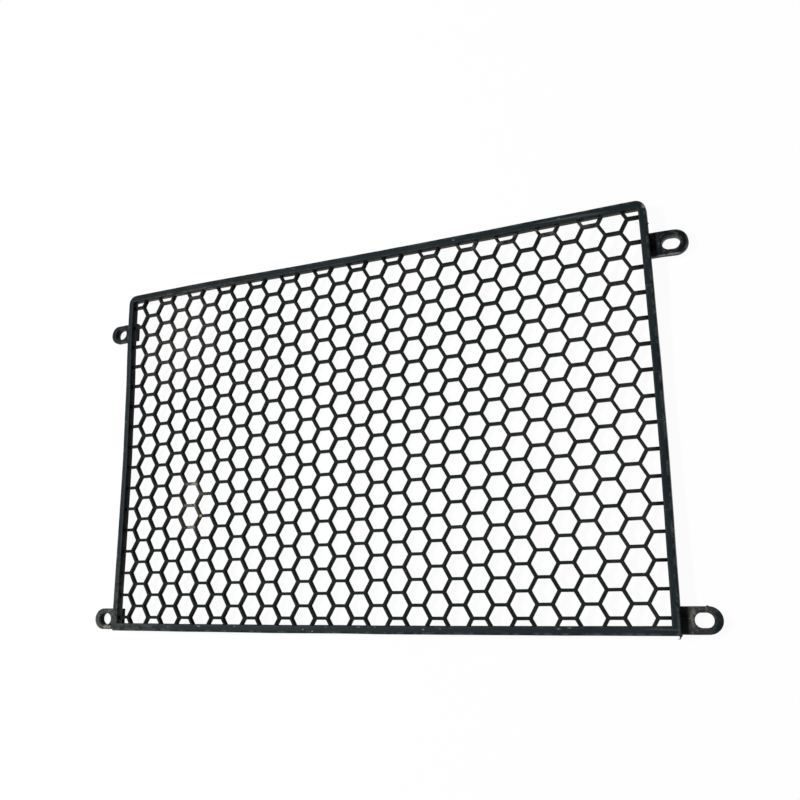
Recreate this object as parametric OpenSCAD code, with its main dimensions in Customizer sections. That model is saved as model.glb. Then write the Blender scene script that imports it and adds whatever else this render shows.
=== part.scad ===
/* [Frame] */
// width of the frame over its outer edges, mm
frame_w = 322.4; // [300:0.1:350]
// height of the frame over its outer edges, mm
frame_h = 207.4; // [190:0.1:230]
// width of the two side rails, mm
side_w = 3.5; // [3:0.1:6]
// width of the top and bottom rails, mm
rail_w = 3.9; // [3:0.1:6]
// height of the rails from back to front, mm
frame_t = 4.6; // [3.6:0.1:8]
// outer radius of the two top corners, mm
top_r = 5.2; // [1:0.1:7]
// outer radius of the two bottom corners, mm
bottom_r = 0.8; // [0.4:0.1:5]

/* [Mesh] */
// distance between neighbouring cell centres, mm
cell_pitch = 12.8; // [11:0.1:18]
// width of a bar between two cells, mm
bar_w = 1.5; // [1:0.1:3]
// thickness of the bars from back to front, mm
mesh_t = 2.5; // [1.5:0.1:3.4]

/* [Lugs] */
// width of a lug, mm
lug_w = 11.9; // [11.2:0.1:14]
// thickness of the lug plate, mm
lug_t = 2.7; // [1.6:0.1:5]
// how far a lug reaches out from the side of the frame, mm
lug_reach = 17.4; // [16.6:0.1:24]
// centre of the upper lugs below the top edge of the frame, mm
upper_drop = 22.5; // [14:0.1:60]
// centre of the lower lugs above the bottom edge of the frame, mm
lower_rise = 6.5; // [6.1:0.1:50]
// length of the slot, mm
slot_l = 8.9; // [7.6:0.1:10]
// width of the slot, mm
slot_w = 7.0; // [5:0.1:7.4]
// centre of the slot out from the side of the frame, mm
slot_out = 9.6; // [8.4:0.1:10.4]
// wall of the collar round the slot, mm
collar_wall = 1.5; // [1:0.1:1.8]
// how far the collar stands out behind the lug plate, mm
collar_h = 1.9; // [1:0.1:5]

/* [Damage] */
// width of the chip at the root of the lower left lug, mm
chip_w = 5.2; // [3:0.1:6]
// depth of the chip into the edge of the lug, mm
chip_d = 1.8; // [0.8:0.1:3]

/* [Hidden] */
inner_w = frame_w - 2 * side_w;
inner_h = frame_h - 2 * rail_w;
lug_top_z = collar_h + lug_t;
frame_z = lug_top_z;
cell_af = cell_pitch - bar_w;
cell_r = cell_af / sqrt(3);
col_pitch = cell_pitch * sqrt(3) / 2;
// a cell that would show less than this beside a rail is left closed
least_show = 1;
cols = floor((inner_w / 2 - least_show + cell_r) / col_pitch);
reach_rows = (inner_h / 2 - least_show + cell_af / 2) / cell_pitch;
rows_on = floor(reach_rows);
rows_off = floor(reach_rows - 0.5);
upper_y = frame_h / 2 - upper_drop;
lower_y = lower_rise - frame_h / 2;
slot_run = slot_l - slot_w;
collar_w = slot_w + 2 * collar_wall;
// length of a lug's straight part beyond the rail
lug_run = lug_reach - lug_w / 2;
// how far a joint or a cut runs past the face it starts from
over = 1;
// strip of the lug left between the rail and the chip
chip_gap = 0.2;
// how much narrower the chip is at its bottom than at its mouth
chip_slant = 0.5;
// sides that stand for a circle, which is exact in the finished solid
round_sides = 64;

// outer outline of the frame, round at the top and nearly square below
module outline() {
    translate([-frame_w / 2, bottom_r - frame_h / 2])
        square([frame_w, frame_h - bottom_r - top_r]);
    translate([top_r - frame_w / 2, 0])
        square([frame_w - 2 * top_r, frame_h / 2]);
    translate([bottom_r - frame_w / 2, -frame_h / 2])
        square([frame_w - 2 * bottom_r, frame_h / 2]);
    for (side = [-1, 1]) {
        translate([side * (frame_w / 2 - top_r), frame_h / 2 - top_r])
            circle(r = top_r, $fn = round_sides);
        translate([side * (frame_w / 2 - bottom_r), bottom_r - frame_h / 2])
            circle(r = bottom_r, $fn = round_sides);
    }
}

// block that the rails and the bars are left of
module blank() {
    translate([0, 0, frame_z])
        linear_extrude(height = frame_t)
            outline();
}

// room in front of the bars, inside the rails
module recess() {
    translate([-inner_w / 2, -inner_h / 2, frame_z + mesh_t])
        cube([inner_w, inner_h, frame_t]);
}

// one hexagon opening, flat sides along the top and bottom rails
module cell(x, y) {
    translate([x, y, frame_z - over])
        cylinder(h = mesh_t + 2 * over, r = cell_r, $fn = 6);
}

// what lies between the rails
module field() {
    translate([-inner_w / 2, -inner_h / 2, frame_z - 2 * over])
        cube([inner_w, inner_h, mesh_t + 4 * over]);
}

// all openings, one of them on the centre of the frame, cut short at the rails
module cells() {
    for (m = [-cols:cols]) {
        odd = abs(m) % 2;
        top = odd == 1 ? rows_off : rows_on;
        low = odd == 1 ? -rows_off - 1 : -rows_on;
        for (k = [low:top]) {
            x = m * col_pitch;
            y = (k + odd / 2) * cell_pitch;
            if (abs(x) + cell_r < inner_w / 2 && abs(y) + cell_af / 2 < inner_h / 2)
                cell(x, y);
            else
                intersection() {
                    cell(x, y);
                    field();
                }
        }
    }
}

// slot shape of a given width, from one height up by another, with its middle beyond the rail
module track(side, y, width, z, height) {
    at = side * (frame_w / 2 + slot_out);
    for (end = [-1, 1])
        translate([at + end * slot_run / 2, y, z])
            cylinder(h = height, d = width, $fn = round_sides);
    translate([at - slot_run / 2, y - width / 2, z])
        cube([slot_run, width, height]);
}

// plate under the side rail with a round end, and a collar behind it round the slot
module lug(side, y) {
    out = side * frame_w / 2;
    translate([side > 0 ? out - side_w : out - lug_run, y - lug_w / 2, collar_h])
        cube([side_w + lug_run, lug_w, lug_t]);
    translate([out + side * lug_run, y, collar_h])
        cylinder(h = lug_t, d = lug_w, $fn = round_sides);
    // root that joins the plate to the rail above it
    translate([side > 0 ? out - side_w + over : out + over, y - lug_w / 2 + over, lug_top_z - over])
        cube([side_w - 2 * over, lug_w - 2 * over, 2 * over]);
    track(side, y, collar_w, 0, collar_h + over);
}

// slot for the bolt, long across the frame
module slot(side, y) {
    track(side, y, slot_w, -over, lug_top_z + 2 * over);
}

// piece broken out of the lower edge of the lower left lug beside the rail
module chip() {
    translate([-frame_w / 2, lower_y - lug_w / 2, -over])
        linear_extrude(height = lug_top_z + 2 * over)
            polygon([[-chip_gap, -over], [-chip_gap, chip_d], [chip_slant - chip_w, chip_d],
                     [-chip_w, 0], [-chip_w, -over]]);
}

// one moulded piece: rails, mesh and four lugs
module radiator_screen() {
    color([0.06, 0.065, 0.07])
        difference() {
            union() {
                blank();
                for (side = [-1, 1])
                    for (y = [upper_y, lower_y])
                        lug(side, y);
            }
            recess();
            cells();
            for (side = [-1, 1])
                for (y = [upper_y, lower_y])
                    slot(side, y);
            chip();
        }
}

radiator_screen();
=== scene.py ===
# %% [markdown]
# # A moulded radiator screen
#
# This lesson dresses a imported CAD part: a black plastic screen with a honeycomb mesh, two side rails, a top and a
# bottom rail, and four slotted lugs. The CAD model fixes every size and place. Blender adds what a photograph shows
# and a plain solid lacks: softened edges, dust in the cells, chafed corners, scratches and a torn lug root.

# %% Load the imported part
import bpy
import bmesh
import math
import random
from mathutils import Matrix, Vector, noise


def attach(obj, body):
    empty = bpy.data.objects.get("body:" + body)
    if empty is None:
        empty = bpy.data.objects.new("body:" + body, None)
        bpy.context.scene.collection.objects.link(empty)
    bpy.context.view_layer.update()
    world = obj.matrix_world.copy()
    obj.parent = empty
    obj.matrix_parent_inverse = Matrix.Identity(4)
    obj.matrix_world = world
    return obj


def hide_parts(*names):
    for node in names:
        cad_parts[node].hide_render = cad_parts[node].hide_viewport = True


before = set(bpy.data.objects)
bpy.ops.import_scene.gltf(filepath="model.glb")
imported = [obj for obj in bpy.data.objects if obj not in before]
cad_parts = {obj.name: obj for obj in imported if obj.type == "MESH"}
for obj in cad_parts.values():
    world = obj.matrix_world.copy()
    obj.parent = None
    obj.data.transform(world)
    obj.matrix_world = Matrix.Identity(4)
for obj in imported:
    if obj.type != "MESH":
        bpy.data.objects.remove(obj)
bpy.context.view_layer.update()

noise.seed_set(7)
MM = 0.001

# %% [markdown]
# The part's sizes are repeated here in millimetres, because the scene can't read the CAD source. X runs along the
# long side, Y up to the rail with the round corners, and Z out of the front. The part stands on its four collars.

# %% Sizes of the real part
frame_w, frame_h, frame_t = 322.4, 207.4, 4.6
side_w, rail_w = 3.5, 3.9
top_r, bottom_r = 5.2, 0.8
cell_pitch, bar_w, mesh_t = 12.8, 1.5, 2.5
lug_w, lug_t, lug_reach = 11.9, 2.7, 17.4
slot_l, slot_w, slot_out = 8.9, 7.0, 9.6
collar_wall, collar_h = 1.5, 1.9
chip_w, chip_d = 5.2, 1.8
back_z = collar_h + lug_t
front_z = back_z + frame_t
upper_drop, lower_rise = 22.5, 6.5
upper_y, lower_y = frame_h / 2 - upper_drop, lower_rise - frame_h / 2
inner_w, inner_h = frame_w - 2 * side_w, frame_h - 2 * rail_w
print("rails from", back_z, "to", front_z, "mm; opening", inner_w, "by", inner_h, "mm")

# %% [markdown]
# ## Camera
#
# The camera comes first, so that every later step can be looked at from the photograph's side. Its place was worked
# out from the lattice: a honeycomb is as good as a ruled test card, since all its nodes are known.

# %% Camera at the photograph's viewing angle
camera_at = Vector((203.62, -80.59, 408.81)) * MM
camera_right = Vector((0.91378, -0.01387, -0.40597))
camera_up = Vector((0.10045, 0.97609, 0.19275))
camera_back = camera_right.cross(camera_up).normalized()
camera_up = camera_back.cross(camera_right).normalized()
camera = bpy.data.objects.new("camera", bpy.data.cameras.new("camera"))
bpy.context.scene.collection.objects.link(camera)
camera.matrix_world = Matrix((
    (camera_right.x, camera_up.x, camera_back.x, camera_at.x),
    (camera_right.y, camera_up.y, camera_back.y, camera_at.y),
    (camera_right.z, camera_up.z, camera_back.z, camera_at.z),
    (0, 0, 0, 1)))
camera.data.sensor_width = 36
camera.data.lens = 37.755
camera.data.clip_start = 0.01
bpy.context.scene.camera = camera
print("the camera stands", round(camera_at.length, 3), "m from the part")

# %% [markdown]
# The real moulding has warped: its middle hangs lower than the lugs on which it stands, and its long thin rails bow
# out a little. It is also twisted, so that the upper right corner stands off the table, and the mesh has a low hump
# and a shallow dip. The lattice in the photograph bends in the same way, which gave the few numbers below. One
# function moves the points of every finished mesh, so that all the pieces stay together.

# %% The warp of the real moulding
half_long, half_short = 160, 100
long_bowl, long_flattens = 4.34, 2.50
short_bowl, short_flattens = 3.99, 1.74
side_bow = 0.55
twist = -0.40
hump, dip, raised_corner = 1.49, 1.21, 1.62
uneven_reach = 50
uneven_places = ((-80, 60, hump), (-48, -20, -dip), (160, 92, raised_corner))


def rise(x, y):
    """Height of the warped moulding over its middle, in millimetres: a bowl that flattens out towards the rails."""
    long_way, short_way = (x / half_long) ** 2, (y / half_short) ** 2
    return (long_bowl * long_way - long_flattens * long_way ** 2
            + short_bowl * short_way - short_flattens * short_way ** 2)


def sag(x, y):
    """How far a point lies under the flat CAD model, in millimetres: nothing at the four lugs."""
    lug_x = frame_w / 2 + slot_out
    high, low = rise(lug_x, upper_y), rise(lug_x, lower_y)
    return low + (high - low) * (y - lower_y) / (upper_y - lower_y) - rise(x, y)


def lift(x, y):
    """Height that the twist and the uneven places add, in millimetres."""
    uneven = sum(height * math.exp(-((x - at_x) ** 2 + (y - at_y) ** 2) / uneven_reach ** 2)
                 for at_x, at_y, height in uneven_places)
    return uneven + twist * x / half_long * y / half_short


def warped(x, y, z):
    """Where a point of the flat CAD model lies on the warped moulding, never under the table."""
    return (x + side_bow * x / half_long * (1 - (y / half_short) ** 2),
            y + side_bow * y / half_short * (1 - (x / half_long) ** 2), max(z - sag(x, y) + lift(x, y), 0))


print("the middle lies", round(sag(0, 0) - lift(0, 0), 2), "mm low, the upper right lug",
      round(lift(frame_w / 2 + slot_out, upper_y), 2), "mm off the table")

# %% [markdown]
# ## Shader maths as expressions
#
# A material is a graph of small nodes. Written out one by one it is hard to read, so a small class wraps an output
# socket. Adding or multiplying two wrapped sockets adds the Math node that does it, and `node` makes any other node.

# %% A socket that can be used in an expression
class Wire:
    """An output socket of a node tree, used like a number."""
    def __init__(self, tree, socket):
        self.tree, self.socket = tree, socket

    def node(self, kind, settings=None, values=None, out=0):
        return add_node(self.tree, kind, settings, values, out)

    def maths(self, operation, *terms):
        return self.node("ShaderNodeMath", {"operation": operation}, dict(enumerate(terms)))

    def __add__(self, other): return self.maths("ADD", self, other)
    def __radd__(self, other): return self.maths("ADD", other, self)
    def __sub__(self, other): return self.maths("SUBTRACT", self, other)
    def __rsub__(self, other): return self.maths("SUBTRACT", other, self)
    def __mul__(self, other): return self.maths("MULTIPLY", self, other)
    def __rmul__(self, other): return self.maths("MULTIPLY", other, self)
    def __truediv__(self, other): return self.maths("DIVIDE", self, other)
    def __mod__(self, other): return self.maths("MODULO", self, other)
    def __abs__(self): return self.maths("ABSOLUTE", self)
    def floor(self): return self.maths("FLOOR", self)
    def less(self, other): return self.maths("LESS_THAN", self, other)
    def most(self, other): return self.maths("MINIMUM", self, other)
    def least(self, other): return self.maths("MAXIMUM", self, other)

    def ramp(self, low, high):
        """0 up to low, 1 from high on, smooth between."""
        return self.node("ShaderNodeMapRange", {"interpolation_type": "SMOOTHSTEP"},
                         {"Value": self, "From Min": low, "From Max": high})


def add_node(tree, kind, settings=None, values=None, out=0):
    """A node of one kind: its settings first, then its sockets by name or number, and its output as a Wire."""
    made = tree.nodes.new(kind)
    for name, value in (settings or {}).items():
        setattr(made, name, value)
    for key, value in (values or {}).items():
        if isinstance(value, Wire):
            tree.links.new(value.socket, made.inputs[key])
        else:
            made.inputs[key].default_value = value
    return None if out is None else Wire(tree, made.outputs[out])


print("Wire and add_node are ready")

# %% [markdown]
# ## Black plastic with dust, wear and painted shade
#
# The screen is one moulding, but its parts have aged in different ways, so one function makes a finish and its
# arguments say how dusty and how worn it is. Everything is a pattern in Object coordinates, which are the part's own
# metres, so a mark that belongs at one corner can simply be given that place. Fine dust lies on faces that look up,
# silt clings to the walls that face the bottom rail, and the walls are painted a darker black than the faces, as
# painted shade. A painted sheen in fine grain lies on the faces. A mark can also paint shade, such as the rail's
# shadow on two lugs.
# Scratches run along the side rails and the lugs one way and along the long rails the other way.

# %% Helpers for colours and marks
def mixed(factor, below, above):
    """Two colours, the second laid over the first by a factor."""
    made = factor.tree.nodes.new("ShaderNodeMix")
    made.data_type = "RGBA"
    factor.tree.links.new(factor.socket, made.inputs[0])
    for slot, colour in ((6, below), (7, above)):
        if isinstance(colour, Wire):
            factor.tree.links.new(colour.socket, made.inputs[slot])
        else:
            made.inputs[slot].default_value = (*colour, 1)
    return Wire(factor.tree, made.outputs[2])


def grain(place, per_metre, detail=2.0, roughness=0.5, stretch=(1, 1, 1)):
    """Noise of a given fineness, stretched along an axis where that is wanted."""
    if stretch != (1, 1, 1):
        place = place.node("ShaderNodeVectorMath", {"operation": "MULTIPLY"}, {0: place, 1: stretch})
    return place.node("ShaderNodeTexNoise", {}, {"Vector": place, "Scale": per_metre, "Detail": detail,
                                                 "Roughness": roughness})


def spot(place, centre, size, turn=0):
    """1 at a place on the flat part and 0 from a size on, in millimetres, turned by degrees seen from the front."""
    local = place.node("ShaderNodeMapping", {"vector_type": "TEXTURE"},
                       {"Vector": place, "Location": Vector(warped(*centre)) * MM, "Scale": Vector(size) * MM,
                        "Rotation": (0, 0, math.radians(turn))})
    far = local.node("ShaderNodeVectorMath", {"operation": "LENGTH"}, {0: local}, out="Value")
    return 1 - far.ramp(0.35, 1.0)


def washer_print(place, centre, radius, width):
    """1 on a circle round a bolt's place, all in millimetres, where a washer has rubbed."""
    local = place.node("ShaderNodeMapping", {"vector_type": "TEXTURE"},
                       {"Vector": place, "Location": Vector((*centre, 0)) * MM, "Scale": (MM, MM, 1)})
    far = local.node("ShaderNodeVectorMath", {"operation": "LENGTH"}, {0: local}, out="Value")
    return 1 - abs(far - radius).ramp(width * 0.3, width)


print("colours, grain, spots and washer prints are ready")

# %% The finish itself
BLACK_TOP = (0.0042, 0.0112, 0.0150)
# The darker black is painted shade on the walls and a painted shadow of the rail on two lugs; other marks lay it on
# as dark lines and mottling.
BLACK_AND_SHADE = (0.0008, 0.0018, 0.0030)
SHEEN = (0.018, 0.028, 0.034)
DUST = (0.110, 0.105, 0.088)
EARTH = (0.095, 0.072, 0.045)
SILT = (0.150, 0.145, 0.125)
BRUISE = (0.150, 0.155, 0.150)
CHAFE = (0.300, 0.290, 0.230)
BRICK = (0.150, 0.075, 0.055)
CHALK = (0.230, 0.240, 0.230)
TAN = (0.400, 0.290, 0.180)
washer_r, washer_line = 5.2, 0.7


def black_plastic(name, black=BLACK_TOP, gloss=0.05, dust=0.3, silt=0.35, scratches=0.3, cover=0.0, rough=0.5,
                  edge=0.3, washer=None, marks=()):
    """Moulded black plastic. A mark has a colour, a strength, a centre, a size, its grain per metre and its turn."""
    material = bpy.data.materials.new(name)
    material.use_nodes = True
    tree = material.node_tree
    tree.nodes.clear()
    place = add_node(tree, "ShaderNodeTexCoord", out="Object")
    facing = add_node(tree, "ShaderNodeTexCoord", out="Normal")
    across = facing.node("ShaderNodeSeparateXYZ", {}, {0: facing}, out="Y")
    up = Wire(tree, across.socket.node.outputs["Z"])
    sideways = place.node("ShaderNodeSeparateXYZ", {}, {0: place})
    level = up.ramp(0.25, 0.85)
    patches = (grain(place, 38, 3, 0.6).ramp(0.42, 0.72) + cover).most(1)
    speckle = grain(place, 900, 3, 0.65).ramp(0.45, 0.75)
    fine = grain(place, 2600, 2, 0.6)
    cloud = grain(place, 9, 2)

    # Walls take the darker black as painted shade; faces keep the plastic's own black.
    colour = mixed(level, BLACK_AND_SHADE, black)
    colour = mixed((fine - 0.35) * (0.30 + 0.55 * patches) * level, colour, SHEEN)
    settled = (dust * (0.25 + 0.75 * patches) * (0.35 + 0.65 * speckle) * (0.35 + 0.65 * level)).most(1)
    colour = mixed(settled, colour, DUST)
    under = (0 - across).ramp(0.2, 0.9) * (0.55 + 0.45 * patches) * (0.5 + 0.5 * speckle)
    colour = mixed(under * silt, colour, SILT)

    scarce = 0.66 - 0.08 * cover
    lines = grain(place, 420, 1, 0.5, (1.0, 0.045, 1.0)).ramp(scarce, scarce + 0.05)
    cross = grain(place, 380, 1, 0.5, (0.05, 1.0, 1.0)).ramp(scarce + 0.02, scarce + 0.07)
    beside = abs(sideways).ramp(inner_w / 2 * MM, frame_w / 2 * MM)
    scored = (lines * beside + cross * (1 - 0.5 * beside)).most(1) * (cloud.ramp(0.40, 0.62) + cover).most(1)
    scored = scored * level * scratches
    colour = mixed(scored, colour, BRUISE)

    worn = add_node(tree, "ShaderNodeAttribute", {"attribute_name": "edge"}, out="Fac")
    rubbed = worn * edge * grain(place, 210, 3, 0.7).ramp(0.44, 0.66)
    colour = mixed(rubbed, colour, BRUISE)

    if washer:
        rubbed_ring = washer_print(place, washer, washer_r, washer_line) * grain(place, 500, 2).ramp(0.42, 0.6)
        colour = mixed(0.25 * (rubbed_ring * level), colour, BRUISE)

    pits = 0
    for tone, strength, centre, size, per_metre, *turn in marks:
        mark = spot(place, centre, size, *turn) * grain(place, per_metre, 3, 0.7).ramp(0.38, 0.58) * strength
        colour = mixed(mark, colour, tone)
        pits = mark + pits

    shine = rough + 0.16 * (patches - 0.5) + 0.25 * settled + 0.2 * scored
    height = fine * 0.00003 + grain(place, 160, 2) * 0.00006 - scored * 0.00004
    if marks:
        height = height - pits * 0.00015
    bump = add_node(tree, "ShaderNodeBump", {}, {"Height": height, "Strength": 0.8, "Distance": 1.0})
    plastic = add_node(tree, "ShaderNodeBsdfPrincipled", {}, {"Base Color": colour, "Roughness": shine,
                                                              "Specular IOR Level": gloss, "Normal": bump})
    add_node(tree, "ShaderNodeOutputMaterial", {}, {"Surface": plastic}, out=None)
    return material


print("black_plastic is ready")

# %% [markdown]
# ## The honeycomb
#
# The mesh between the rails is the main thing that one sees: 29 columns of hexagon cells, with bars 1.5 mm wide. It
# follows a rule, so Geometry Nodes make it. The tree builds the rim of a single cell as a ring of seven loops, from
# the middle of the bars on the front, over a rounded lip, down the wall and round to the back. It puts that ring on
# every cell centre and merges the rings, which share the middle lines of the bars. The softened edges would make the
# bars look thinner than the photograph shows them, so the bars, the rails and the slots' walls are made a trace
# fuller.

# %% Inputs of the honeycomb tree
fuller = 0.15
comb_tree = bpy.data.node_groups.new("honeycomb", "GeometryNodeTree")
comb_tree.interface.new_socket(name="Mesh", in_out="OUTPUT", socket_type="NodeSocketGeometry")
comb_values = {"Cell Pitch": cell_pitch * MM, "Bar Width": (bar_w + fuller) * MM, "Bar Depth": mesh_t * MM,
               "Back Height": back_z * MM, "Lip": 0.28 * MM, "Corner": 0.22 * MM, "Columns": 14, "Rows": 8,
               "Field Width": inner_w * MM, "Field Height": inner_h * MM, "Waviness": 0.22 * MM, "Seed": 7.0}
comb_sockets = {}
for name, value in comb_values.items():
    kind = "NodeSocketInt" if isinstance(value, int) else "NodeSocketFloat"
    comb_sockets[name] = comb_tree.interface.new_socket(name=name, in_out="INPUT", socket_type=kind)
comb_sockets["Material"] = comb_tree.interface.new_socket(name="Material", in_out="INPUT",
                                                          socket_type="NodeSocketMaterial")
comb_input = comb_tree.nodes.new("NodeGroupInput")
comb = {name: Wire(comb_tree, comb_input.outputs[name]) for name in comb_sockets}
print("honeycomb inputs:", ", ".join(comb))

# %% The rim of one cell, loop by loop
index = add_node(comb_tree, "GeometryNodeInputIndex")
ring = add_node(comb_tree, "GeometryNodeMeshCircle", {"fill_type": "NONE"}, {"Vertices": 12, "Radius": 0.001})
for attribute, value in (("corner", (index / 2).floor() * math.radians(60)), ("side", index % 2 * 2 - 1)):
    ring = add_node(comb_tree, "GeometryNodeStoreNamedAttribute", {"data_type": "FLOAT"},
                    {"Geometry": ring, "Name": attribute, "Value": value})
corner = add_node(comb_tree, "GeometryNodeInputNamedAttribute", {"data_type": "FLOAT"}, {"Name": "corner"})
side_of_corner = add_node(comb_tree, "GeometryNodeInputNamedAttribute", {"data_type": "FLOAT"}, {"Name": "side"})


def rim_loop(radius, cut, height):
    """Place of the twelve points of a loop: a hexagon whose corners are cut by a small length."""
    out = radius - cut / 2
    along = side_of_corner * cut * math.sin(math.radians(60))
    x = out * corner.maths("COSINE", corner) - along * corner.maths("SINE", corner)
    y = out * corner.maths("SINE", corner) + along * corner.maths("COSINE", corner)
    return add_node(comb_tree, "ShaderNodeCombineXYZ", {}, {0: x, 1: y, 2: height})


pitch_r = comb["Cell Pitch"] / math.sqrt(3)
open_r = (comb["Cell Pitch"] - comb["Bar Width"]) / math.sqrt(3)
front = comb["Back Height"] + comb["Bar Depth"]
zero = comb["Lip"] * 0
loops = [(pitch_r, zero, front)]
for inset, drop in ((1.0, 0.0), (0.29, 0.29), (0.0, 1.0)):
    loops.append((open_r + comb["Lip"] * inset * 2 / math.sqrt(3), comb["Corner"] + comb["Lip"] * inset * 0.309,
                  front - comb["Lip"] * drop))
loops.append((open_r, comb["Corner"], comb["Back Height"] + comb["Lip"] * 0.5))
loops.append((open_r + comb["Lip"] * 0.5 * 2 / math.sqrt(3), comb["Corner"] + comb["Lip"] * 0.155,
              comb["Back Height"]))
loops.append((pitch_r, zero, comb["Back Height"]))
ring = add_node(comb_tree, "GeometryNodeSetPosition", {}, {"Geometry": ring, "Position": rim_loop(*loops[0])})
newest = None
for loop in loops[1:]:
    values = {"Mesh": ring, "Offset Scale": 0.0}
    if newest:
        values["Selection"] = newest
    ring = add_node(comb_tree, "GeometryNodeExtrudeMesh", {"mode": "EDGES"}, values, out="Mesh")
    newest = Wire(comb_tree, ring.socket.node.outputs["Top"])
    ring = add_node(comb_tree, "GeometryNodeSetPosition", {}, {"Geometry": ring, "Selection": newest,
                                                               "Position": rim_loop(*loop)})
ring = add_node(comb_tree, "GeometryNodeMergeByDistance", {}, {"Geometry": ring, "Distance": 0.00001})
print("the rim of a cell has", len(loops), "loops of 12 points")

# %% [markdown]
# The cell centres are points on a grid whose odd columns sit half a cell higher. Points whose cell lies wholly beyond
# the rails are dropped. A little smooth unevenness keeps the bars from looking ruled, as thin mouldings never are.

# %% Cell centres, instances and the finished tree
rows_each = comb["Rows"] * 2 + 2
count = (comb["Columns"] * 2 + 1) * rows_each
column = (index / rows_each).floor() - comb["Columns"]
row = index % rows_each - comb["Rows"] - 1
centre_x = column * comb["Cell Pitch"] * (math.sqrt(3) / 2)
centre_y = (row + abs(column) % 2 * 0.5) * comb["Cell Pitch"]
centre = add_node(comb_tree, "ShaderNodeCombineXYZ", {}, {0: centre_x, 1: centre_y})
points = add_node(comb_tree, "GeometryNodePoints", {}, {"Count": count, "Position": centre})
beyond_x = (comb["Field Width"] / 2).less(abs(centre_x) - pitch_r)
beyond_y = (comb["Field Height"] / 2).less(abs(centre_y) - comb["Cell Pitch"] / 2)
points = add_node(comb_tree, "GeometryNodeDeleteGeometry", {"domain": "POINT"},
                  {"Geometry": points, "Selection": beyond_x.least(beyond_y)})
rings = add_node(comb_tree, "GeometryNodeInstanceOnPoints", {}, {"Points": points, "Instance": ring})
rings = add_node(comb_tree, "GeometryNodeRealizeInstances", {}, {"Geometry": rings})
rings = add_node(comb_tree, "GeometryNodeMergeByDistance", {}, {"Geometry": rings, "Distance": 0.00004})
position = add_node(comb_tree, "GeometryNodeInputPosition")
spread = add_node(comb_tree, "ShaderNodeTexNoise", {"noise_dimensions": "4D"},
                  {"Vector": position, "W": comb["Seed"], "Scale": 70.0, "Detail": 1.0}, out="Color")
spread = spread.node("ShaderNodeVectorMath", {"operation": "SUBTRACT"}, {0: spread, 1: (0.5, 0.5, 0.5)})
spread = spread.node("ShaderNodeVectorMath", {"operation": "SCALE"}, {0: spread, "Scale": comb["Waviness"]})
rings = add_node(comb_tree, "GeometryNodeSetPosition", {}, {"Geometry": rings, "Offset": spread})
rings = add_node(comb_tree, "GeometryNodeSetMaterial", {}, {"Geometry": rings, "Material": comb["Material"]})
comb_output = comb_tree.nodes.new("NodeGroupOutput")
comb_tree.links.new(rings.socket, comb_output.inputs[0])
print("the honeycomb tree has", len(comb_tree.nodes), "nodes")

# %% Finishes of the honeycomb and the rails
comb_marks = [
    (DUST, 0.6, (-108, -32, 6), (15, 24, 20), 300),
    (SILT, 0.5, (100, 98, 6), (60, 6, 20), 240),
    (SILT, 0.09, (150, 0, 6), (90, 130, 30), 200),
    (DUST, 0.4, (-120, 70, 6), (40, 40, 20), 260),
    (TAN, 1.0, (-102.6, -38.8, 7), (1.4, 1.6, 2), 900)]
for y in (-19.8, -32.3, -45.1):
    comb_marks.append((CHAFE, 0.8, (-109.6, y, 7), (5.5, 2.2, 3), 500))
comb_finish = black_plastic("honeycomb_plastic", black=(0.0052, 0.0092, 0.0100), gloss=0.02, dust=0.24, silt=0.75,
                            scratches=0.15, rough=0.55, marks=comb_marks)
rail_marks = [
    (CHAFE, 1.0, (160.7, 100.5, 8.8), (1.9, 2.6, 1.6), 900),
    (BRICK, 1.0, (161.4, 97.6, 8.6), (1.3, 2.0, 2.2), 900),
    (SILT, 0.22, (-150, -96, 8), (44, 44, 20), 400),
    (SILT, 0.9, (-115, 99.8, 6.3), (70, 1.2, 4.5), 300),
    (BLACK_AND_SHADE, 0.55, (-110, 101.8, 9.2), (110, 5, 2), 60),
    (SILT, 0.9, (159.8, -104.8, 5), (2.0, 1.5, 2.5), 300)]
for x, y, half in ((-119.5, -101.0, 1.2), (-98.6, -100.5, 1.6), (-75.0, -100.4, 0.9), (-31.6, -101.6, 0.8),
                   (-25.8, -102.6, 0.8), (-18.1, -100.4, 0.7), (2.1, -100.2, 2.2), (10.7, -100.2, 0.9),
                   (37.7, -101.2, 1.1), (46.8, -100.9, 0.9), (106.8, -100.6, 1.4), (111.6, -100.2, 1.6),
                   (60.0, 101.4, 0.9), (118.0, 101.8, 0.9), (-40.0, 102.0, 1.0)):
    rail_marks.append((CHALK, 0.8, (x, y, 9.2), (half, 0.5, 0.8), 900))
for x, y in ((161.0, -7.5), (160.6, 14.0), (-160.2, -60.0), (-159.4, 22.0)):
    rail_marks.append((BRUISE, 0.8, (x, y, 9.2), (0.7, 1.3, 0.8), 900))
rail_finish = black_plastic("rail_plastic", dust=0.22, scratches=0.35, rough=0.5, edge=0.35, marks=rail_marks)
print("finishes:", comb_finish.name, rail_finish.name)

# %% [markdown]
# A modifier runs the tree on an empty mesh. Its result is made a plain mesh at once and cut off inside the rails,
# where the bars grow out of them. The cut ends are closed, and normals are recalculated once the doubles are merged.

# %% Make the honeycomb a mesh and trim it at the rails
def piece(name, mesh, finish):
    """An object of a finished mesh, with its finish and the warp of the moulding."""
    made = bpy.data.objects.new(name, mesh)
    bpy.context.scene.collection.objects.link(made)
    mesh.materials.clear()
    mesh.materials.append(finish)
    for vert in mesh.vertices:
        vert.co = Vector(warped(*(vert.co / MM))) * MM
    return made


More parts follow.
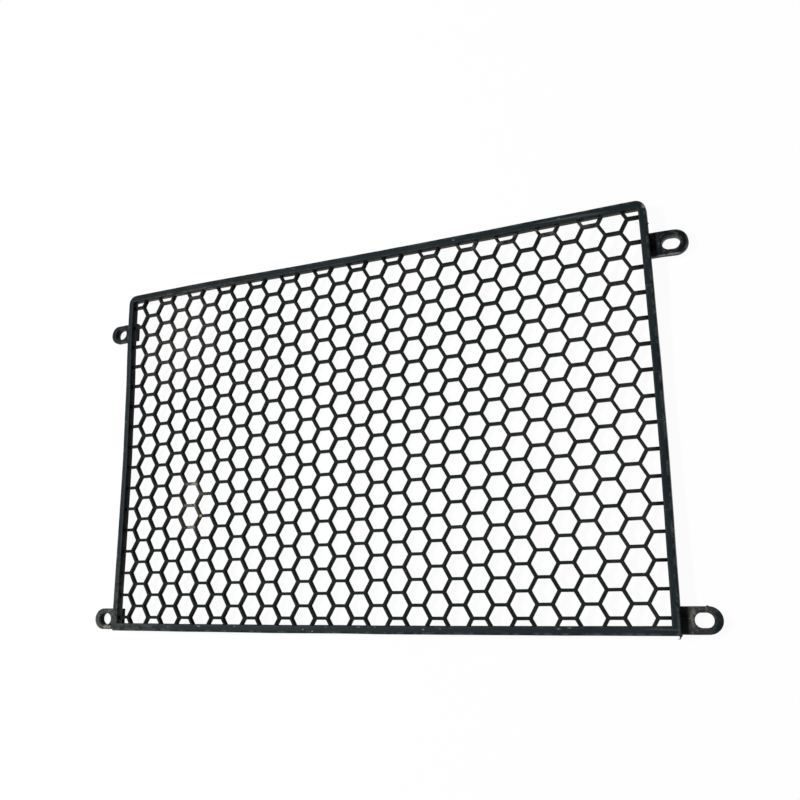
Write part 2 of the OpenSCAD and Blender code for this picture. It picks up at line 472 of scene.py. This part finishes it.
carrier = bpy.data.objects.new("carrier", bpy.data.meshes.new("carrier"))
bpy.context.scene.collection.objects.link(carrier)
comb_modifier = carrier.modifiers.new("honeycomb", "NODES")
comb_modifier.node_group = comb_tree
for name, value in comb_values.items():
    comb_modifier[comb_sockets[name].identifier] = value
comb_modifier[comb_sockets["Material"].identifier] = comb_finish
comb_mesh = bpy.data.meshes.new_from_object(carrier.evaluated_get(bpy.context.evaluated_depsgraph_get()))
carrier.modifiers.clear()
bpy.data.objects.remove(carrier)
print("merged lattice:", len(comb_mesh.vertices), "points,", len(comb_mesh.polygons), "faces")

comb_bm = bmesh.new()
comb_bm.from_mesh(comb_mesh)
sunk = 0.4
for across, reach in ((Vector((1, 0, 0)), inner_w / 2 + sunk), (Vector((0, 1, 0)), inner_h / 2 + sunk)):
    for way in (-1, 1):
        cut = bmesh.ops.bisect_plane(comb_bm, geom=comb_bm.verts[:] + comb_bm.edges[:] + comb_bm.faces[:], dist=1e-7,
                                     plane_co=across * way * reach * MM, plane_no=across * way, clear_outer=True)
        rims = [e for e in cut["geom_cut"] if isinstance(e, bmesh.types.BMEdge)]
        bmesh.ops.holes_fill(comb_bm, edges=rims, sides=0)
bmesh.ops.recalc_face_normals(comb_bm, faces=comb_bm.faces)
print("open edges left:", sum(not e.is_manifold for e in comb_bm.edges))
comb_bm.to_mesh(comb_mesh)
comb_bm.free()
honeycomb = piece("honeycomb_mesh", comb_mesh, comb_finish)

# %% [markdown]
# ## The rails
#
# The four rails are one closed loop. Its cross-section has sixteen points, with a full round on the outer front edge
# and a smaller one inside, and each point travels round the outline at its own distance, so the two upper corners
# come out round and the lower ones nearly square. Points every few millimetres let the long sides carry a slight
# wave.
# A number kept on each point, named edge, is up to 1 on the rounded edges, and the finish reads it to rub them
# pale.

# %% Points of the rails' cross-section
outer_round, inner_round, back_round = 0.75, 0.55, 0.2
section = []
for step in range(4):
    angle = math.radians(30 * step)
    section.append(("outer", outer_round * (1 - math.cos(angle)), front_z - outer_round * (1 - math.sin(angle)), 1))
section.append(("outer", 1.45, front_z, 0))
section.append(("inner", 1.05, front_z, 0))
for step in range(4):
    angle = math.radians(30 * step)
    section.append(("inner", inner_round * (1 - math.sin(angle)), front_z - inner_round * (1 - math.cos(angle)),
                    0.3))
section += [("inner", 0, back_z + mesh_t + 0.3, 0), ("inner", 0, back_z + back_round, 0),
            ("inner", back_round, back_z, 0.3), ("outer", back_round, back_z, 0.3),
            ("outer", 0, back_z + back_round, 0), ("outer", 0, front_z - 1.6, 0)]
print("the rails' section has", len(section), "points")

# %% Walk each point of the section round the frame
def rounded_loop(half_x, half_y, upper_round, lower_round, long_steps=90, short_steps=60, corner_steps=8):
    """Points round a rectangle, anticlockwise from the lower right corner, equal in number for every size."""
    found = []
    corners = ((1, -1, lower_round, -90, short_steps), (1, 1, upper_round, 0, long_steps),
               (-1, 1, upper_round, 90, short_steps), (-1, -1, lower_round, 180, long_steps))
    for number, (sx, sy, radius, start, steps) in enumerate(corners):
        cx, cy = sx * (half_x - radius), sy * (half_y - radius)
        arc = [(cx + radius * math.cos(math.radians(start + 90 * k / corner_steps)),
                cy + radius * math.sin(math.radians(start + 90 * k / corner_steps))) for k in range(corner_steps + 1)]
        nx, ny, nr, ns, _ = corners[(number + 1) % 4]
        goal = (nx * (half_x - nr) + nr * math.cos(math.radians(ns)),
                ny * (half_y - nr) + nr * math.sin(math.radians(ns)))
        found += arc
        found += [(arc[-1][0] + (goal[0] - arc[-1][0]) * k / steps, arc[-1][1] + (goal[1] - arc[-1][1]) * k / steps)
                  for k in range(1, steps)]
    return found


def closed_sweep(name, rings, wear):
    """A closed skin over rings of equal length, the last joined to the first, with a wear value for each ring."""
    bm = bmesh.new()
    mark = bm.verts.layers.float.new("edge")
    rows = []
    for ring_points, value in zip(rings, wear):
        row = [bm.verts.new(Vector(p) * MM) for p in ring_points]
        for vert in row:
            vert[mark] = value
        rows.append(row)
    size = len(rows[0])
    for a, b in zip(rows, rows[1:] + rows[:1]):
        for k in range(size):
            bm.faces.new((a[k], a[(k + 1) % size], b[(k + 1) % size], b[k]))
    bmesh.ops.remove_doubles(bm, verts=bm.verts, dist=1e-6)
    bmesh.ops.recalc_face_normals(bm, faces=bm.faces)
    for face in bm.faces:
        face.smooth = True
    mesh = bpy.data.meshes.new(name)
    bm.to_mesh(mesh)
    bm.free()
    return mesh


rail_rings = []
for kind, inset, z, _ in section:
    half_x = frame_w / 2 - inset if kind == "outer" else inner_w / 2 - 2 * fuller + inset
    half_y = frame_h / 2 - inset if kind == "outer" else inner_h / 2 - 2 * fuller + inset
    upper = max(top_r - inset, 0.5) if kind == "outer" else 0.7 + inset
    lower = max(bottom_r - inset, 0.25) if kind == "outer" else 0.5 + inset
    ring_points = []
    for x, y in rounded_loop(half_x, half_y, upper, lower):
        sway = noise.noise_vector(Vector((x, y, 3)) * 0.035) * 0.16
        sway += noise.noise_vector(Vector((x, y, z)) * 0.4) * 0.03
        ring_points.append((x + sway.x, y + sway.y, z + sway.z))
    rail_rings.append(ring_points)
rails = piece("edge_rails", closed_sweep("edge_rails", rail_rings, [wear for *_, wear in section]), rail_finish)
print("rails:", len(rails.data.vertices), "points")

# %% [markdown]
# ## The lugs
#
# A lug is a flat plate under the side rail with a round end, a slot for a bolt, and a collar behind the slot that
# stands on the bracket. Seen from the middle of the slot, each of its outlines is met once in every direction. So a
# lug too is a closed skin over rings: each ring is found by walking outwards until an outline's own test says stop.

# %% Outlines of a lug, seen from the middle of its slot
slot_run = slot_l - slot_w
tip_centre = lug_reach - lug_w / 2 - slot_out
root_end = -slot_out - side_w


def in_track(u, v, radius):
    """Inside a slot shape of that end radius."""
    return math.hypot(max(abs(u) - slot_run / 2, 0), v) < radius


def in_plate(u, v, half, inset, torn):
    """Inside the lug's plate of a given half width, drawn in by an inset, less what is torn out of its lower root."""
    if torn and v < -half + inset + torn_depth(u):
        return False
    if u > tip_centre:
        return math.hypot(u - tip_centre, v) < half - inset
    return u > root_end and abs(v) < half - inset


def torn_depth(u):
    """How deep the break runs into the edge at a distance along the lug."""
    from_rail = u + slot_out
    if from_rail < -0.2 or from_rail > chip_w + 0.3:
        return 0
    ragged = 0.35 * noise.noise(Vector((from_rail * 2.6, 1.7, 0.4)))
    return chip_d * min(1, max(0, (chip_w - from_rail) / 0.7)) + ragged


def ring_of(test, directions):
    """Points where a walk from the middle leaves a shape, one for each direction."""
    found = []
    for angle in directions:
        low, high = 0.0, 30.0
        for _ in range(36):
            middle = (low + high) / 2
            if test(middle * math.cos(angle), middle * math.sin(angle)):
                low = middle
            else:
                high = middle
        found.append((low * math.cos(angle), low * math.sin(angle)))
    return found


print("a lug reaches", round(tip_centre + lug_w / 2, 2), "mm beyond the middle of its slot")

# %% Build the four lugs
corner_angle = math.atan2(lug_w / 2, root_end)
directions = [2 * math.pi * k / 96 for k in range(96)] + [corner_angle, -corner_angle]
directions += [math.radians(207 + k * 0.7) for k in range(38)]
directions = sorted(a % (2 * math.pi) for a in directions)
soft = 0.4


def lug(name, side, y, finish, half=lug_w / 2, torn=False):
    """One lug with its collar, closed from the slot's front edge round to its back edge."""
    plate = lambda inset: ring_of(lambda u, v: in_plate(u, v, half, inset, torn), directions)
    track = lambda radius: ring_of(lambda u, v: in_track(u, v, radius), directions)
    hole, wall = slot_w / 2 - fuller, slot_w / 2 + collar_wall
    rings = [(track(hole), back_z - soft, 0.6), (track(hole + soft * 0.3), back_z - soft * 0.3, 1),
             (track(hole + soft), back_z, 1), (track(hole + 0.9), back_z, 0), (plate(0.9), back_z, 0),
             (plate(soft), back_z, 1), (plate(soft * 0.3), back_z - soft * 0.3, 1), (plate(0), back_z - soft, 1),
             (plate(0), back_z - 1.1, 0.2), (plate(0), collar_h + soft * 0.6, 0.4),
             (plate(soft * 0.6), collar_h, 0.6), (track(wall + 0.35), collar_h, 0),
             (track(wall + 0.1), collar_h - 0.3, 0), (track(wall), 0.3, 0),
             (track(wall - 0.3), 0, 0.8), (track(hole + 0.2), 0, 0.8), (track(hole), 0.25, 0.4)]
    placed = []
    for points, z, _ in rings:
        row = []
        for u, v in points:
            x, py = side * (frame_w / 2 + slot_out + u), y + v
            sway = noise.noise_vector(Vector((x, py, 9)) * 0.12) * 0.12
            row.append((x + sway.x, py + sway.y, z + (sway.z if 0.5 < z else 0)))
        placed.append(row)
    return piece(name, closed_sweep(name, placed, [wear for *_, wear in rings]), finish)


bolt_x = frame_w / 2 + slot_out
# Middle of the painted shadow that the right rail casts on its lugs.
rail_shadow_middle = frame_w / 2 + 1.2
gloss_lug = black_plastic(
    "upper_right_plastic", black=(0.0014, 0.0030, 0.0048), dust=0.03, silt=0.9, scratches=0.25, cover=0.2, rough=0.34,
    edge=0.6, washer=(bolt_x, upper_y), marks=(
        (CHALK, 1.0, (179.2, 78.6, 4.4), (1.0, 5.0, 0.9), 260),
        (CHALK, 1.0, (169.5, 75.1, 4.4), (10.5, 0.6, 0.8), 260),
        # Painted shadow: the black band that the rail casts on this lug.
        (BLACK_AND_SHADE, 0.9, (rail_shadow_middle, upper_y, 4.6), (2.4, 9.0, 2.0), 40)))
dusty_lug = black_plastic(
    "lower_right_plastic", black=(0.0035, 0.0080, 0.0110), dust=0.50, scratches=0.8, cover=0.8, edge=0.35,
    washer=(bolt_x, lower_y), marks=(
        (EARTH, 0.8, (167.2, -97.0, 4.6), (2.2, 5.0, 2.0), 900),
        (CHAFE, 0.5, (166.4, -96.0, 4.6), (1.8, 6.0, 2.0), 1500),
        (BLACK_TOP, 0.95, (176.6, -98.0, 4.6), (4.2, 7.0, 2.0), 260),
        # Painted shadow: the black band that the rail casts on this lug.
        (BLACK_AND_SHADE, 0.95, (rail_shadow_middle, lower_y, 4.6), (2.5, 9.0, 2.0), 40)))
dark_lug = black_plastic(
    "upper_left_plastic", black=(0.0025, 0.0065, 0.0095), dust=0.14, silt=0.2, scratches=0.3, cover=0.5, rough=0.38,
    edge=0.35)
grey_lug = black_plastic(
    "lower_left_plastic", black=(0.0060, 0.0090, 0.0110), dust=0.30, silt=0.05, scratches=1.0, cover=1.0, rough=0.62,
    edge=0.6, marks=(
        (CHALK, 0.8, (-172.5, -96.0, 4.6), (12.0, 12.0, 1.6), 1300),
        (BLACK_AND_SHADE, 0.9, (-172.5, -96.0, 4.6), (12.0, 12.0, 1.6), 1700),
        (CHAFE, 0.9, (-168.6, -101.8, 4.4), (4.6, 1.5, 2.4), 500),
        (BLACK_AND_SHADE, 1.0, (-166.9, -100.5, 4.6), (2.6, 0.45, 1.0), 60, 32)))
lugs = [lug("upper_right_lug", 1, upper_y, gloss_lug, half=6.3),
        lug("lower_right_lug", 1, lower_y, dusty_lug, half=6.15),
        lug("upper_left_lug", -1, upper_y, dark_lug, half=5.7),
        lug("lower_left_lug", -1, lower_y, grey_lug, torn=True)]
for made in lugs:
    print(made.name, len(made.data.vertices), "points")

# %% [markdown]
# ## Flash and burrs
#
# Moulding leaves thin flash where the tool parts, and rough handling raises burrs. The photograph shows a short spike
# of flash under the lower right corner, a nub on the right rail and a burr on the edge of the lower right lug. Each
# is a small flake with a ragged tip, thick enough to hold on to its edge and sunk into it.

# %% Flakes of flash
def flake(bm, root, tip, width, thick, seed, steps=5):
    """A tapering flake from a root to a tip, both in millimetres, bent and ragged by a fixed seed."""
    dice = random.Random(seed)
    root, tip = Vector(root), Vector(tip)
    along = (tip - root).normalized()
    across = along.cross(Vector((0, 0, 1))).normalized()
    rows = []
    for step in range(steps + 1):
        t = step / steps
        half = width / 2 * (1 - t) ** 0.8 + 0.06
        middle = root.lerp(tip, t) + across * dice.uniform(-0.12, 0.12) * step
        middle += Vector((0, 0, dice.uniform(-0.05, 0.05)))
        half_thick = Vector((0, 0, thick / 2 * (1 - 0.6 * t)))
        rows.append([bm.verts.new((middle + across * half * side + half_thick * face) * MM)
                     for side, face in ((-1, -1), (1, -1), (1, 1), (-1, 1))])
    for a, b in zip(rows, rows[1:]):
        for k in range(4):
            bm.faces.new((a[k], a[(k + 1) % 4], b[(k + 1) % 4], b[k]))
    bm.faces.new(rows[0])
    bm.faces.new(rows[-1])


flash_bm = bmesh.new()
flake(flash_bm, (160.9, -103.2, 5.1), (159.5, -105.5, 5.0), 1.3, 0.5, 3)
flake(flash_bm, (160.4, 91.9, 6.4), (161.7, 91.8, 6.3), 2.6, 1.0, 8)
flake(flash_bm, (172.4, -91.7, 4.1), (172.9, -90.7, 4.2), 2.0, 0.6, 11)
bmesh.ops.recalc_face_normals(flash_bm, faces=flash_bm.faces)
flash_mesh = bpy.data.meshes.new("moulding_flash")
flash_bm.to_mesh(flash_mesh)
flash_bm.free()
flash = piece("moulding_flash", flash_mesh, rail_finish)
softened = flash.modifiers.new("soft", "BEVEL")
softened.width = 0.08 * MM
softened.segments = 2
print("flash:", len(flash_mesh.polygons), "faces")

# %% [markdown]
# ## Light and floor
#
# The screen lies on a white table in soft daylight from the left. A broad lamp gives the dark band that the rail
# throws on the right-hand lugs, which a painted shadow on those lugs makes deeper, and the world fills the rest. The
# two together light a level surface at about the strength at which a colour renders as it is written. The white of
# the table comes from its own colour and from a share of plain white that camera, glossy and transmitted rays see, so
# the lamps stay low and the shadow stays.

# %% Floor
table_half = 4
white_share = 0.955


def plain_rays(tree):
    """1 for rays that should meet plain white: those from the camera, off a gloss or through a clear thing."""
    ray = add_node(tree, "ShaderNodeLightPath", out="Is Camera Ray")
    glossy, through = (Wire(tree, ray.socket.node.outputs[n]) for n in ("Is Glossy Ray", "Is Transmission Ray"))
    return (ray + glossy + through).most(1)


floor_mesh = bpy.data.meshes.new("table")
floor_bm = bmesh.new()
bmesh.ops.create_grid(floor_bm, x_segments=1, y_segments=1, size=table_half)
floor_bm.to_mesh(floor_mesh)
floor_bm.free()
floor = bpy.data.objects.new("table", floor_mesh)
bpy.context.scene.collection.objects.link(floor)
table = bpy.data.materials.new("white_table")
table.use_nodes = True
table.node_tree.nodes.clear()
matt = add_node(table.node_tree, "ShaderNodeBsdfDiffuse", {}, {"Color": (0.92, 0.92, 0.91, 1)})
white = add_node(table.node_tree, "ShaderNodeEmission", {}, {"Color": (1, 1, 1, 1), "Strength": 1.0})
shown = add_node(table.node_tree, "ShaderNodeMixShader", {},
                 {0: plain_rays(table.node_tree) * white_share, 1: matt, 2: white})
add_node(table.node_tree, "ShaderNodeOutputMaterial", {}, {"Surface": shown}, out=None)
floor_mesh.materials.append(table)
print("table of", 2 * table_half, "m")

# %% Lamp and world
lamp = bpy.data.objects.new("window", bpy.data.lights.new("window", "AREA"))
bpy.context.scene.collection.objects.link(lamp)
lamp_from = Vector((-0.60, 0.10, 1.04))
lamp.location = lamp_from
lamp.rotation_mode = "QUATERNION"
lamp.rotation_quaternion = (-lamp_from).to_track_quat("-Z", "Y")
lamp.data.shape = "DISK"
lamp.data.size = 0.16
lamp.data.energy = 13.5
world_strength = 0.24
world = bpy.data.worlds.new("room")
bpy.context.scene.world = world
world.use_nodes = True
world.node_tree.nodes.clear()
soft_light = add_node(world.node_tree, "ShaderNodeBackground", {},
                      {"Color": (0.96, 0.98, 1.0, 1), "Strength": world_strength})
backdrop = add_node(world.node_tree, "ShaderNodeBackground", {}, {"Color": (1, 1, 1, 1), "Strength": 1.0})
seen = add_node(world.node_tree, "ShaderNodeMixShader", {},
                {0: plain_rays(world.node_tree), 1: soft_light, 2: backdrop})
add_node(world.node_tree, "ShaderNodeOutputWorld", {}, {"Surface": seen}, out=None)
bpy.context.scene.view_settings.view_transform = "Standard"
print("lamp", lamp.data.energy, "W; world", world_strength)

# %% [markdown]
# ## The pieces on the body
#
# Every piece rides on the part's only body and stands for its one CAD node, which stays for collision.

# %% Ride, replace and finish
for made in [honeycomb, rails, flash] + lugs:
    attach(made, "root")
    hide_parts("radiator_screen")
